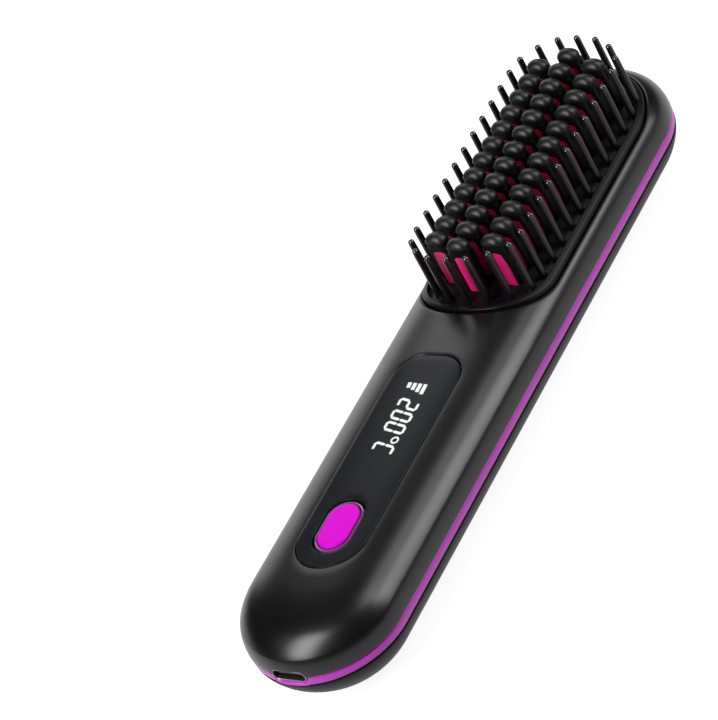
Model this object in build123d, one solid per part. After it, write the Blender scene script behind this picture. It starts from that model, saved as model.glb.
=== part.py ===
from build123d import *
from math import cos, pi, sin, sqrt
import os

# Cordless hair straightening brush, millimetres. It lies on its back with the teeth up (+Z).
# The long axis is Y: brush head towards +Y, charging port at the -Y end. Inside this file z = 0 is
# the seam between the two shells; everything is lifted by BACK_H when it is written out.

# ---- driving dimensions ----
LENGTH = 185.0
HALF_W = 19.9            # half width, and the radius of the full-round ends
FRONT_H, FRONT_Q = 11.3, 2.9    # front shell crown above the seam and its superellipse exponent
BACK_H, BACK_Q = 14.8, 1.75     # the same for the back shell
REST_CUT = 0.18          # depth of the flat that the back rests on
WALL = 2.0
TRIM_LO, TRIM_HI = -1.3, 1.5    # coloured trim ring around the seam
TRIM_R = 19.8

COMB_Y = 46.7            # centre of the brush field
COMB_A, COMB_HALF = 17.0, 40.1  # half width and half length of the comb plate
COMB_HEAD, COMB_PORT = (17.9, 2.0), (15.2, 2.4)  # depth and exponent of its two rounded ends
PLATE_PROUD, PLATE_T = 0.35, 1.8   # rim of the comb plate above the shell, and its flange below it
RIM_W = 1.5              # width of the rim
FLOOR_LOW, FIELD_LOW = 1.0, 2.1    # top and underside of the sunken field, below the shell's surface
LEDGE = 1.3              # width of the ledge that the comb plate sits on
GASKET_T = 0.4

PITCH = 5.2              # tooth and pin spacing along Y
COL_X = 7.6              # outer tooth columns
TOOTH_W, TOOTH_L, TOOTH_R = 4.6, 3.0, 1.2     # heated blade, across and along, and its corners
TOOTH_TOP = 20.9
CAP_RX, CAP_RY, CAP_RZ = 2.75, 1.95, 2.25
SKIRT_Z, CAP_Z = 19.9, 21.95    # foot of the cap's skirt, and where its dome starts
LEG_X, LEG_Y, LEG_Z = 2.7, 1.15, 8.9    # legs of the cap down both sides of the blade
MID_LIFT, SIDE_LIFT = 0.65, -0.35       # how much the middle and outer teeth differ in height
SLOT_W, SLOT_L = 5.8, 3.4
PIN_X = 14.1
PIN_LEN, PIN_R, PIN_TIP_R = 13.3, 0.9, 0.78     # length above the rim's level
PIN_ARC = [(13.2, 30.4), (9.8, 34.1), (5.2, 36.3), (0.0, 36.7)]   # one quarter of the end pins

PANEL_Y0, PANEL_Y1, PANEL_R = -69.8, -7.2, 8.8
PANEL_CORNER = 6.5       # corners of the panel's head end
PANEL_FLOOR = 10.05
GROOVE = 0.2
KEY_Y, KEY_L, KEY_W = -58.0, 12.8, 7.7
KEY_TOP, KEY_TRAVEL = 11.65, 0.6
KEY_HOLE_L, KEY_HOLE_W = 15.6, 10.4

HEAT_TOP, HEAT_T = 8.3, 2.0     # heater plate under the comb plate
DECK_Z, DECK_T = 2.0, 1.4       # chassis deck
BOARD_Z, BOARD_T = 4.4, 1.2     # main circuit board
CELL_W, CELL_L, CELL_T = 21.0, 70.0, 5.0
CELL_Y, CELL_Z = -34.0, -8.6
PORT_Z, PORT_W, PORT_H = 1.6, 8.94, 3.26

END_Y = LENGTH / 2 - HALF_W     # centre of each rounded end


# ---- building blocks ----
def curve_points(r, h, q, steps=9):
    """Quarter of a superellipse from (r, 0) to (0, h)."""
    pts = []
    for i in range(steps + 1):
        t = pi / 2 * i / steps
        pts.append((r * max(cos(t), 0) ** (2 / q) if i < steps else 0.0,
                    h * sin(t) ** (2 / q)))
    return pts


def pod(offset, front=True):
    """Solid half of the body, grown by offset, on its side of the seam plane."""
    r = HALF_W + offset
    h = (FRONT_H if front else BACK_H) + offset
    q = FRONT_Q if front else BACK_Q
    s = 1 if front else -1
    right = [(x, s * z) for x, z in curve_points(r, h, q)]
    c_right = Spline(right, tangents=[(0, s), (-1, 0)])
    c_left = mirror(c_right, about=Plane.YZ)
    full = make_face([c_right, c_left, Line((-r, 0), (r, 0))])
    half = make_face([c_right, Line((0, s * h), (0, 0)), Line((0, 0), (r, 0))])
    middle = extrude(Plane.XZ * full, amount=END_Y, both=True)
    end = revolve(Plane.XZ * half, axis=Axis.Z, revolution_arc=180)
    return middle + Pos(0, END_Y, 0) * end + Pos(0, -END_Y, 0) * Rot(0, 0, 180) * end


def stadium(length, width, y, z0, z1, x=0.0):
    """Upright stadium prism, long along Y."""
    sk = Rot(0, 0, 90) * SlotOverall(length, width)
    return Pos(x, y, z0) * extrude(sk, amount=z1 - z0)


def block(x0, x1, y0, y1, z0, z1):
    """Box by its limits."""
    return Pos((x0 + x1) / 2, (y0 + y1) / 2, (z0 + z1) / 2) * Box(x1 - x0, y1 - y0, z1 - z0)


def rod(x, y, z0, z1, r):
    """Upright cylinder."""
    return Pos(x, y, (z0 + z1) / 2) * Cylinder(r, z1 - z0)


def slab(w, l, y, z0, z1, r, x=0.0):
    """Plate with rounded corners."""
    return Pos(x, y, z0) * extrude(RectangleRounded(w, l, r), amount=z1 - z0)


def comb_end(g, depth, q):
    """Half superellipse from side to side of the comb plate, grown by g."""
    a, b, side = COMB_A + g, depth + g, COMB_HALF - depth
    points = []
    for i in range(17):
        t = pi * i / 16
        c, s = cos(t), max(sin(t), 0.0)
        x = a * abs(c) ** (2 / q) * (1 if c > 0 else -1)
        points.append((0.0 if i == 8 else x, side + (0.0 if i in (0, 16) else b * s ** (2 / q))))
    return points


def comb_prism(g, z0, z1):
    """Upright prism of the comb plate's outline, grown by g."""
    top = comb_end(g, *COMB_HEAD)
    low = [(-x, -y) for x, y in comb_end(g, *COMB_PORT)]
    face = make_face([
        Spline(top, tangents=[(0, 1), (0, -1)]), Line(top[-1], low[0]),
        Spline(low, tangents=[(0, -1), (0, 1)]), Line(low[-1], top[0]),
    ])
    return Pos(0, COMB_Y, z0) * extrude(face, amount=z1 - z0)


def panel_prism(g, z0, z1):
    """Upright prism of the panel's outline, grown by g: full-round port end, squarer head end."""
    w = 2 * (PANEL_R + g)
    head = slab(w, 40 + 2 * g, PANEL_Y1 - 20, z0, z1, PANEL_CORNER + g)
    return stadium(50 + 2 * g, w, PANEL_Y0 + 25, z0, z1) + head


def surface_z(x, y, offset=0.0):
    """Height of the front shell's outer surface above the seam."""
    d = abs(x) if abs(y) < END_Y else sqrt(x * x + (abs(y) - END_Y) ** 2)
    r, h = HALF_W + offset, FRONT_H + offset
    return h * (1 - (d / r) ** FRONT_Q) ** (1 / FRONT_Q)


def tube(points, radii, r):
    """Round lead along straight runs joined by arcs."""
    path = FilletPolyline(*points, radius=radii)
    start = Plane(origin=path @ 0, z_dir=path % 0)
    return sweep(start * Circle(r), path=path)


# ---- positions ----
teeth = [(0.0, COMB_Y + PITCH * (k - 6)) for k in range(13)]
teeth += [(s * COL_X, COMB_Y + PITCH * (k - 5.5)) for s in (-1, 1) for k in range(12)]
pins = [(s * PIN_X, COMB_Y + PITCH * (k - 5)) for s in (-1, 1) for k in range(11)]
for px, dy in PIN_ARC:
    for sx in ((1, -1) if px else (1,)):
        pins += [(sx * px, COMB_Y + sy * dy) for sy in (-1, 1)]
deck_screws = [(sx * 13.3, y) for sx in (-1, 1) for y in (-77.0, -1.0)]
board_screws = [(sx * 8.4, y) for sx in (-1, 1) for y in (-65.6, -10.4)]
tray_screws = [(sx * x, COMB_Y + dy) for sx in (-1, 1) for x, dy in ((8.5, -34.5), (6.8, 33.6))]

parts = {}
front_out, front_in = pod(0), pod(-WALL)
back_out, back_in = pod(0, False), pod(-WALL, False)
above = block(-40, 40, -120, 120, TRIM_HI, 40)
port_cut = Pos(0, -LENGTH / 2, PORT_Z) * Rot(90, 0, 0) * extrude(
    SlotOverall(PORT_W + 0.3, PORT_H + 0.3), amount=12, both=True)
port_scoop = Pos(0, -LENGTH / 2 + 0.55, PORT_Z) * Rot(90, 0, 0) * extrude(
    SlotOverall(PORT_W + 2.0, PORT_H + 2.0), amount=4)

# ---- front shell: panel pocket, comb opening with its ledge, bosses for the chassis ----
front = front_out - front_in
front += comb_prism(1.6, 3.1, 20) & (pod(-1.9) - pod(-3.7))
front += panel_prism(1.5, 8.5, 9.9)
for x, y in deck_screws:
    front += rod(x, y, DECK_Z + DECK_T, surface_z(x, y, -WALL) + 0.5, 2.3)
front &= above
front -= comb_prism(0.15, 0, 20) - pod(-PLATE_T - GASKET_T)
front -= comb_prism(-LEDGE, 0, 20)
front -= panel_prism(GROOVE, PANEL_FLOOR, 20)
front -= stadium(KEY_L + 0.4, KEY_W + 0.4, KEY_Y, 8, 11)
front -= slab(9.4, 26.0, -26.5, 8, 11, 1.0)
for x, y in deck_screws:
    front -= rod(x, y, 3, surface_z(x, y, -WALL) - 0.4, 0.8)
front -= port_cut
front -= port_scoop
parts["front_shell"] = front

# ---- back shell: resting flat, stiffening ribs, battery stops, port board posts ----
back = back_out - back_in
for y in (-60.0, -34.0, -8.0, 20.0, 46.0, 72.0):
    back += back_in & block(-18, 18, y - 0.7, y + 0.7, -14, CELL_Z - 0.3)
for sx in (-1, 1):
    back += rod(sx * 7.0, -76.5, -13.2, -1.1, 1.8) & back_in
    back += rod(sx * 7.0, -84.6, -13.2, -1.1, 1.8) & back_in
back &= block(-40, 40, -120, 120, -40, TRIM_LO)
back -= block(-40, 40, -120, 120, -40, -BACK_H + REST_CUT)
back -= port_cut
back -= port_scoop
parts["back_shell"] = back

# ---- trim ring with a locating rib inside, notched for the port and its board ----
def ring(r0, r1, z0, z1):
    return (stadium(2 * (END_Y + r1), 2 * r1, 0, z0, z1)
            - stadium(2 * (END_Y + r0), 2 * r0, 0, z0, z1))


trim = ring(17.8, TRIM_R, TRIM_LO, TRIM_HI)
trim += ring(16.7, 17.8, -0.9, TRIM_HI) + ring(16.7, 17.55, TRIM_HI, 2.9)
trim -= port_cut
trim -= port_scoop
trim -= block(-5.4, 5.4, -90.8, -80, -3, 4)
parts["trim_ring"] = trim

# ---- comb plate, a raised rim around a sunken field, and its gasket ----
plate = comb_prism(0, 0, 20) & (pod(PLATE_PROUD) - pod(-PLATE_T))
plate += comb_prism(0.2 - RIM_W, 0, 20) & (pod(0) - pod(-FIELD_LOW))
plate -= comb_prism(-RIM_W, 0, 20) - pod(-FLOOR_LOW)
slots = Compound(children=[slab(SLOT_W, SLOT_L, y, 5, 15, 1.3, x) for x, y in teeth])
for x, y in tray_screws:
    plate += rod(x, y, 5.2, surface_z(x, y, -PLATE_T) + 0.2, 2.1)
    plate -= rod(x, y, 5.0, surface_z(x, y, -PLATE_T) - 0.2, 0.75)
for sx in (-1, 1):
    for dy in (-26.0, 0.0, 26.0):
        plate += rod(sx * 10.1, COMB_Y + dy, HEAT_TOP, surface_z(10.1, 0, -PLATE_T) + 0.3, 0.5)
plate -= slots
gasket = (comb_prism(-0.1, 0, 20) - comb_prism(-LEDGE, 0, 20))
gasket &= pod(-PLATE_T) - pod(-PLATE_T - GASKET_T)
parts["plate_gasket"] = gasket

# ---- perimeter pins: tapered, round tipped, rooted in the sunken field ----
pin_solids = []
for x, y in pins:
    root = surface_z(x, y, -FLOOR_LOW) - 0.7
    neck = surface_z(x, y, PLATE_PROUD) + PIN_LEN - PIN_TIP_R
    shaft = Pos(x, y, (root + neck) / 2) * Cone(PIN_R, PIN_TIP_R, neck - root)
    pin_solids.append(shaft + Pos(x, y, neck) * Sphere(PIN_TIP_R))
    plate -= shaft
parts["comb_plate"] = plate
parts["comb_pins"] = Compound(children=pin_solids)

# ---- heated blades, each with a cool cap: dome, skirt, and two legs beside the blade ----
def tooth(lift):
    """Blade and cap of one tooth that is taller by lift."""
    dome = scale(Sphere(1.0), by=(CAP_RX, CAP_RY, CAP_RZ)) & block(-3, 3, -3, 3, 0, 3)
    cap = Pos(0, 0, CAP_Z + lift) * dome
    cap += Pos(0, 0, SKIRT_Z + lift) * extrude(Ellipse(CAP_RX, CAP_RY), amount=CAP_Z - SKIRT_Z)
    cap += block(-LEG_X, LEG_X, -LEG_Y, LEG_Y, LEG_Z, SKIRT_Z + lift + 0.5)
    blade = slab(TOOTH_W, TOOTH_L, 0, HEAT_TOP, TOOTH_TOP + lift, TOOTH_R)
    return blade, cap - blade


blades, caps = [], []
tall, short = tooth(MID_LIFT), tooth(SIDE_LIFT)
for x, y in teeth:
    blade, cap = short if x else tall
    blades.append(Pos(x, y, 0) * blade)
    caps.append(Pos(x, y, 0) * cap)
parts["heat_blades"] = Compound(children=blades)
parts["tooth_caps"] = Compound(children=caps)

# ---- heater stack: plate, ceramic elements, insulation, spring clamp, tray ----
heat_low = HEAT_TOP - HEAT_T
parts["heater_plate"] = (slab(21.4, 61.0, COMB_Y, heat_low, HEAT_TOP, 3.0)
                         + slab(6.6, 67.4, COMB_Y, heat_low, HEAT_TOP, 2.0))
parts["ptc_heaters"] = Compound(children=[
    slab(18.0, 23.0, COMB_Y + dy, heat_low - 1.3, heat_low, 0.5) for dy in (-14.5, 14.5)])
parts["mica_sheet"] = slab(20.0, 50.0, COMB_Y, heat_low - 1.6, heat_low - 1.3, 1.0)
clamp = slab(16.0, 48.0, COMB_Y, heat_low - 2.2, heat_low - 1.6, 1.0)
for dy in (-20.0, -7.0, 7.0, 20.0):
    clamp -= slab(9.0, 4.0, COMB_Y + dy, 3, 6, 1.0)
parts["heater_clamp"] = clamp
bead = Pos(0, COMB_Y, heat_low - 0.65) * Rot(0, 90, 0) * Cylinder(0.62, 3.4)
parts["thermistor"] = bead

tray_top = 5.2
tray = comb_prism(-2.9, 2.7, tray_top) - comb_prism(-4.3, 3.7, 20)
for x, y in tray_screws:
    tray += rod(x, y, 2.7, tray_top, 2.6)
for dy in (-24.0, -12.0, 0.0, 12.0, 24.0):
    tray += block(-8, 8, COMB_Y + dy - 0.6, COMB_Y + dy + 0.6, 3.5, heat_low - 2.2)
for x, y in tray_screws:
    tray -= rod(x, y, 2, 8, 1.0) + rod(x, y, 2, 3.5, 1.9)
for sx in (-1, 1):
    tray -= rod(sx * 5.0, COMB_Y - 30.6, 2, 5, 0.95)
fuse = Pos(6.5, COMB_Y - 8, 1.0) * Rot(90, 0, 0) * Cylinder(1.6, 9.0)
tray += block(4.3, 8.7, COMB_Y - 9.2, COMB_Y - 6.8, 0.2, 2.8) - fuse
parts["heat_tray"] = tray
parts["tray_screws"] = Compound(children=[
    rod(x, y, 2.3, 3.5, 1.6) + rod(x, y, 3.4, 8.0, 0.74) for x, y in tray_screws])

parts["thermal_fuse"] = fuse
parts["heater_tabs"] = Compound(children=[
    block(sx * 5.0 - 0.8, sx * 5.0 + 0.8, COMB_Y - 31.1, COMB_Y - 26.0, heat_low - 1.3, heat_low - 1.0)
    + block(sx * 5.0 - 0.8, sx * 5.0 + 0.8, COMB_Y - 31.1, COMB_Y - 30.1, 3.7, heat_low - 1.2)
    for sx in (-1, 1)])

# ---- chassis: deck, battery cradle, board posts ----
deck = stadium(2 * (END_Y + 16.2), 32.4, 0, DECK_Z, DECK_Z + DECK_T)
deck &= block(-20, 20, -81.5, 3.0, 0, 10)
for sx in (-1, 1):
    rail_x = sx * (CELL_W / 2 + 1.0)
    deck += block(rail_x - 0.6, rail_x + 0.6, -66, -3, -5.4, DECK_Z + 0.1)
for x, y in board_screws:
    deck += rod(x, y, DECK_Z, BOARD_Z, 1.9)
for x, y in board_screws:
    deck -= rod(x, y, DECK_Z + 0.4, BOARD_Z + 1, 0.55)
for x, y in deck_screws:
    deck -= rod(x, y, 1, 5, 1.05)
parts["chassis"] = deck
parts["chassis_screws"] = Compound(children=[
    rod(x, y, DECK_Z - 1.2, DECK_Z, 1.7) + rod(x, y, DECK_Z - 0.1, 6.7, 0.79)
    for x, y in deck_screws])

# ---- battery: two flat cells on a foam pad, taped together, with welded tabs ----
cells = [slab(CELL_W, CELL_L, CELL_Y, CELL_Z + i * (CELL_T + 0.3),
              CELL_Z + i * (CELL_T + 0.3) + CELL_T, 1.2) for i in range(2)]
parts["battery_cells"] = Compound(children=cells)
parts["cell_tape"] = slab(CELL_W - 3, CELL_L - 4, CELL_Y, CELL_Z + CELL_T, CELL_Z + CELL_T + 0.3, 1.0)
parts["cell_pad"] = slab(12.0, 56.0, CELL_Y, CELL_Z - 0.3, CELL_Z, 1.0)
cell_end = CELL_Y - CELL_L / 2
tab_z = CELL_Z + CELL_T - 1.0
parts["cell_tabs"] = Compound(children=[
    block(sx * 4.0 - 1.5, sx * 4.0 + 1.5, cell_end - 3.0, cell_end, tab_z, tab_z + 0.25)
    for sx in (-1, 1)])

# ---- main board with its parts, switch and display ----
board = slab(21.0, 60.0, -38.0, BOARD_Z, BOARD_Z + BOARD_T, 1.5)
for x, y in board_screws:
    board -= rod(x, y, 4, 6, 0.65)
parts["main_board"] = board
btop = BOARD_Z + BOARD_T
parts["board_screws"] = Compound(children=[
    rod(x, y, btop, btop + 0.8, 1.2) + rod(x, y, DECK_Z + 0.8, btop + 0.1, 0.54)
    for x, y in board_screws])
chips = [(0, -46.4, 6.4, 6.4, 0.9), (-7.6, -47.0, 3.0, 3.0, 1.0), (7.6, -47.0, 3.0, 3.0, 1.0),
         (-7.9, -38.0, 3.2, 4.6, 1.6), (7.9, -38.0, 3.2, 4.6, 1.6), (-7.9, -28.5, 2.4, 6.0, 1.9),
         (7.9, -29.0, 4.0, 4.0, 2.0), (-7.9, -19.5, 2.0, 3.2, 1.2), (7.9, -21.0, 2.0, 3.2, 1.2),
         (-7.6, -57.0, 3.2, 2.6, 1.1), (7.6, -57.0, 3.2, 2.6, 1.1)]
parts["board_chips"] = Compound(children=[
    block(x - w / 2, x + w / 2, y - l / 2, y + l / 2, btop, btop + h) for x, y, w, l, h in chips])
parts["lead_plug"] = block(-6.4, 6.4, -12.6, -8.0, btop, btop + 2.2)
parts["display_module"] = slab(8.6, 25.0, -26.5, btop, 8.2, 0.8)

switch = block(-2.6, 2.6, KEY_Y - 2.6, KEY_Y + 2.6, btop, btop + 1.3)
switch -= rod(0, KEY_Y, btop + 0.05, 9, 1.25)
parts["switch_body"] = switch
parts["switch_plunger"] = rod(0, KEY_Y, btop + 0.75, btop + 1.85, 1.15)

# ---- front panel lens with lit digits set flush into it ----
lens = panel_prism(0, PANEL_FLOOR, 20) & front_out
lens -= stadium(KEY_HOLE_L, KEY_HOLE_W, KEY_Y, 9, 20)

DIGIT_W, DIGIT_H, STROKE, SLANT = 2.15, 5.3, 0.78, 0.22
SEGMENTS = {  # from (u, v) to (u, v) in half widths and half heights
    "a": (-1, 1, 1, 1), "b": (1, 1, 1, 0), "c": (1, 0, 1, -1), "d": (-1, -1, 1, -1),
    "e": (-1, 0, -1, -1), "f": (-1, 1, -1, 0), "g": (-1, 0, 1, 0),
}


def stroke_face(p, q, w, gap=0.06):
    """Six-sided stroke between two points, with pointed ends."""
    dx, dy = q[0] - p[0], q[1] - p[1]
    n = sqrt(dx * dx + dy * dy)
    ux, uy = dx / n, dy / n
    a, b, h = gap, n - gap, w / 2
    pts = [(a, 0), (a + h * 0.8, h), (b - h * 0.8, h), (b, 0), (b - h * 0.8, -h), (a + h * 0.8, -h)]
    return make_face(Polyline(*[(p[0] + ux * s - uy * t, p[1] + uy * s + ux * t) for s, t in pts],
                              close=True))


def on_panel(u, v, y0):
    """Reading direction u is -Y and up is +X, leaning by SLANT."""
    return (v, y0 - u - SLANT * v)


glyph_faces = []
for letter, y0 in (("abged", -22.2), ("abcdef", -25.7), ("abcdef", -29.15), ("adef", -35.3)):
    for name in letter:
        u0, v0, u1, v1 = SEGMENTS[name]
        ends = [on_panel(u * DIGIT_W / 2, v * DIGIT_H / 2, y0) for u, v in ((u0, v0), (u1, v1))]
        glyph_faces.append(stroke_face(ends[0], ends[1], STROKE))
glyph_faces.append(Pos(1.8, -32.75) * (Circle(1.05) - Circle(0.6)))
for k in range(4):
    x = -2.7 + 1.45 * k
    y_top = -15.6 - 0.12 * k
    tall = 1.6 + 0.45 * k
    glyph_faces.append(make_face(Polyline(
        (x - 0.5, y_top), (x + 0.5, y_top - 0.1), (x + 0.62, y_top - 0.1 - tall),
        (x - 0.38, y_top - tall), close=True)))
inlay = front_out - pod(-0.2)
glyphs = []
for face in glyph_faces:
    prism = Pos(0, 0, 9) * extrude(face, amount=4)
    glyphs += (prism & inlay).solids()
    lens -= prism & inlay
parts["panel_lens"] = lens
parts["display_digits"] = Compound(children=glyphs)

# ---- key: cap, retaining flange and stem on the switch; fixed light ring around it ----
key = stadium(KEY_L, KEY_W, KEY_Y, 8.4, KEY_TOP)
key = fillet(key.faces().sort_by(Axis.Z)[-1].edges(), 0.35)
key += stadium(KEY_L + 1.5, KEY_W + 1.5, KEY_Y, btop + 2.2, 8.4)
key += rod(0, KEY_Y, btop + 1.85, btop + 2.3, 1.05)
parts["button"] = key
parts["button_ring"] = (stadium(KEY_L + 1.6, KEY_W + 1.6, KEY_Y, PANEL_FLOOR, 10.95)
                        - stadium(KEY_L + 0.5, KEY_W + 0.5, KEY_Y, 9, 12))

# ---- charging port and its board ----
port_y = -91.9
socket = Pos(0, port_y, PORT_Z) * Rot(-90, 0, 0) * extrude(SlotOverall(PORT_W, PORT_H), amount=7.3)
socket -= Pos(0, port_y - 0.1, PORT_Z) * Rot(-90, 0, 0) * extrude(
    SlotOverall(PORT_W - 0.6, PORT_H - 0.6), amount=6.4)
parts["usb_socket"] = socket
parts["usb_tongue"] = block(-3.35, 3.35, port_y + 0.9, port_y + 6.3, PORT_Z - 0.35, PORT_Z + 0.35)
pcb_top = PORT_Z - PORT_H / 2
parts["charge_board"] = (block(-9.0, 9.0, -86.3, -74.0, pcb_top - 1.0, pcb_top)
                         + block(-5.0, 5.0, -89.4, -86.3, pcb_top - 1.0, pcb_top))
charge_chips = [(0, -79.5, 4.0, 4.0, 0.9), (-5.6, -80.0, 2.6, 3.0, 1.0), (5.4, -76.6, 2.0, 1.6, 0.8)]
parts["charge_chips"] = Compound(children=[
    block(x - w / 2, x + w / 2, y - l / 2, y + l / 2, pcb_top, pcb_top + h)
    for x, y, w, l, h in charge_chips])

# ---- internal leads ----
parts["heater_leads"] = Compound(children=[
    tube([(sx * 4.6, -8.0, btop + 0.9), (sx * 4.6, 2.6, btop + 0.9), (sx * 4.8, 6.4, 0.2),
          (sx * 5.0, COMB_Y - 30.6, 0.0), (sx * 5.0, COMB_Y - 30.6, 3.7)], [2.0, 1.6, 1.2], 0.7)
    for sx in (-1, 1)])
parts["cell_leads"] = Compound(children=[
    tube([(sx * 4.0, cell_end - 2.2, tab_z + 0.8), (sx * 4.0, cell_end - 4.6, tab_z + 0.8),
          (sx * 4.0, cell_end - 4.6, pcb_top - 1.0)], [1.2], 0.55)
    for sx in (-1, 1)])

os.makedirs("parts", exist_ok=True)
for name, shape in parts.items():
    export_step(Pos(0, 0, BACK_H - REST_CUT) * shape, "parts/" + name + ".step")
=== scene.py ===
"""Cordless heated straightening brush: surfaces, finishes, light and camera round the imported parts.

Shapes are worked out in millimetres with z = 0 on the seam between the two shells, the long axis
along Y and the teeth up. to_row() turns them into metres in the row frame.
"""
import math

import bmesh
import bpy
import numpy as np
from mathutils import Matrix


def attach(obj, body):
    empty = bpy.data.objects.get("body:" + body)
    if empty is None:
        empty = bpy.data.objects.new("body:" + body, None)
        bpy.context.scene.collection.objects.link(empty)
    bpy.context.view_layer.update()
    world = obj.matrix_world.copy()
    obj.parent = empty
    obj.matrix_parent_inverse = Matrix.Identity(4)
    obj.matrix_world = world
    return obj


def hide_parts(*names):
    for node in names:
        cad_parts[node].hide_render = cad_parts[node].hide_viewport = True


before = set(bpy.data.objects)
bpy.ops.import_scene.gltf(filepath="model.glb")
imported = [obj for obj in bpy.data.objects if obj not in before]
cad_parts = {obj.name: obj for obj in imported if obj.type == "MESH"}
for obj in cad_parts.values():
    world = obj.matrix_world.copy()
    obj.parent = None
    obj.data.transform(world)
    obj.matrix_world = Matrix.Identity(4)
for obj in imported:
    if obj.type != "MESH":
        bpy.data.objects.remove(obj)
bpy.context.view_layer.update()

# ---- sizes shared with the solids, millimetres ----
SEAM_HEIGHT = 14.62               # the seam above the table
END_Y = 72.6                      # centres of the rounded ends
BODY_R, FRONT_H, FRONT_Q = 19.9, 11.3, 2.9
BACK_H, BACK_Q = 14.8, 1.75
WALL = 2.0
TRIM_LO, TRIM_HI, TRIM_R, TRIM_IN = -1.3, 1.5, 19.8, 17.8
COMB_Y, COMB_A, COMB_HALF = 46.7, 17.0, 40.1
COMB_HEAD, COMB_PORT = (17.9, 2.0), (15.2, 2.4)       # depth and exponent of the rounded ends
PLATE_PROUD, PLATE_T, COMB_GAP = 0.35, 1.8, 0.15
RIM_W, FLOOR_LOW, FIELD_LOW = 1.5, 1.0, 2.1
LEDGE, LEDGE_LOW, LEDGE_T = 1.3, 2.2, 1.5             # the shell's ledge under the comb plate
PITCH, COL_X = 5.2, 7.6
SLOT_X, SLOT_Y, SLOT_CORNER = 2.9, 1.7, 1.3
BLADE_X, BLADE_Y, BLADE_CORNER, BLADE_FOOT, BLADE_TOP = 2.3, 1.5, 1.2, 8.3, 20.9
CAP_RX, CAP_RY, CAP_RZ, CAP_Z, SKIRT_Z = 2.75, 1.95, 2.25, 21.95, 19.9
LEG_X, LEG_Y, LEG_Z = 2.7, 1.15, 8.9
MID_LIFT, SIDE_LIFT = 0.65, -0.35             # how the middle and outer teeth differ in height
PIN_X, PIN_LEN, PIN_R, PIN_TIP_R = 14.1, 13.3, 0.9, 0.78
PIN_ARC = ((13.2, 30.4), (9.8, 34.1), (5.2, 36.3), (0.0, 36.7))
PANEL_MID, PANEL_HALF, PANEL_R, PANEL_CORNER = -38.5, 31.3, 8.8, 6.5
PANEL_FLOOR, PANEL_UNDER, PANEL_GAP = 10.05, 8.5, 0.2
KEY_Y, KEY_L, KEY_W, KEY_TOP = -58.0, 12.8, 7.7, 11.65
KEY_HOLE = (7.8, 5.2)             # half length and half width of the panel's hole round the key
PORT_Y, PORT_Z, PORT_W, PORT_H, PORT_GAP = -91.9, 1.6, 8.94, 3.26, 0.15

FIELD_X, FIELD_Y, FIELD_MID_Y = 11.4, 31.2, 33.8      # border of the tooth field in the comb plate


# ---- outlines in plan ----
def dome(x, y, grow=0.0, h=FRONT_H, q=FRONT_Q):
    """Height of the front skin grown by grow: h (1 - (d / r)^q)^(1/q), d being the distance from
    the straight line between the centres of the rounded ends."""
    d = np.hypot(x, np.maximum(np.abs(y) - END_Y, 0.0))
    return (h + grow) * (1 - np.minimum(d / (BODY_R + grow), 1.0) ** q) ** (1 / q)


def walk(points, u):
    """Points at the fractions u of the length of a closed outline."""
    ring = np.vstack([points, points[:1]])
    run = np.r_[0, np.cumsum(np.hypot(*np.diff(ring, axis=0).T))]
    s = (u % 1.0) * run[-1]
    return np.stack([np.interp(s, run, ring[:, k]) for k in (0, 1)], -1)


def stadium(half_l, half_w, y=0.0, n=720):
    """Closed outline, long along Y: two half circles of radius half_w joined by straight sides,
    anticlockwise from (half_w, y)."""
    side = half_l - half_w
    a = np.linspace(0, math.pi, n // 3)
    top = np.stack([half_w * np.cos(a), side + half_w * np.sin(a)], -1)
    run = np.linspace(0, side, n // 12)[:-1]
    right = np.stack([np.full_like(run, half_w), run], -1)
    left = np.stack([np.full_like(run, -half_w), run[::-1] + side / len(run)], -1)
    upper = np.vstack([right, top, left])
    return np.vstack([upper, -upper]) + (0, y)


def comb_outline(grow, n=360):
    """Closed outline of the comb plate grown by grow: straight sides and two ends that follow the
    superellipse |x / a|^q + |y / b|^q = 1, anticlockwise from (a, COMB_Y), each quarter evenly."""
    halves = []
    for depth, q in (COMB_HEAD, COMB_PORT):
        t = np.linspace(0, math.pi / 2, n)
        line = np.stack([(COMB_A + grow) * np.cos(t) ** (2 / q),
                         COMB_HALF - depth + (depth + grow) * np.sin(t) ** (2 / q)], -1)
        line = np.vstack([(COMB_A + grow, 0.0), line])
        run = np.r_[0, np.cumsum(np.hypot(*np.diff(line, axis=0).T))]
        s = np.linspace(0, run[-1], n // 4 + 1)
        quarter = np.stack([np.interp(s, run, line[:, k]) for k in (0, 1)], -1)
        halves.append(np.vstack([quarter, quarter[-2::-1] * (-1, 1)]))
    return np.vstack([halves[0], -halves[1][1:-1]]) + (0, COMB_Y)


def comb_ring(grow, u):
    """Points of the comb outline: u is 0 at its right, 0.25 at its head end, 0.5 at its left."""
    line = comb_outline(grow)
    line = np.vstack([line, line[:1]])
    s = (u % 1.0) * (len(line) - 1)
    return np.stack([np.interp(s, np.arange(len(line)), line[:, k]) for k in (0, 1)], -1)


def panel_outline(grow, n=720):
    """Closed outline of the panel grown by grow: a full-round port end and a squarer head end."""
    w, r = PANEL_R + grow, PANEL_CORNER + grow
    a = np.linspace(0, math.pi / 2, 60)
    corner = np.stack([w - r + r * np.cos(a), PANEL_HALF + grow - r + r * np.sin(a)], -1)
    b = np.linspace(math.pi, 2 * math.pi, 120)
    end = np.stack([w * np.cos(b), w - PANEL_HALF - grow + w * np.sin(b)], -1)
    line = np.vstack([[(w, 0.0)], corner, corner[::-1] * (-1, 1), end])
    return walk(line, np.linspace(0, 1, n, endpoint=False)) + (0, PANEL_MID)


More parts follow.
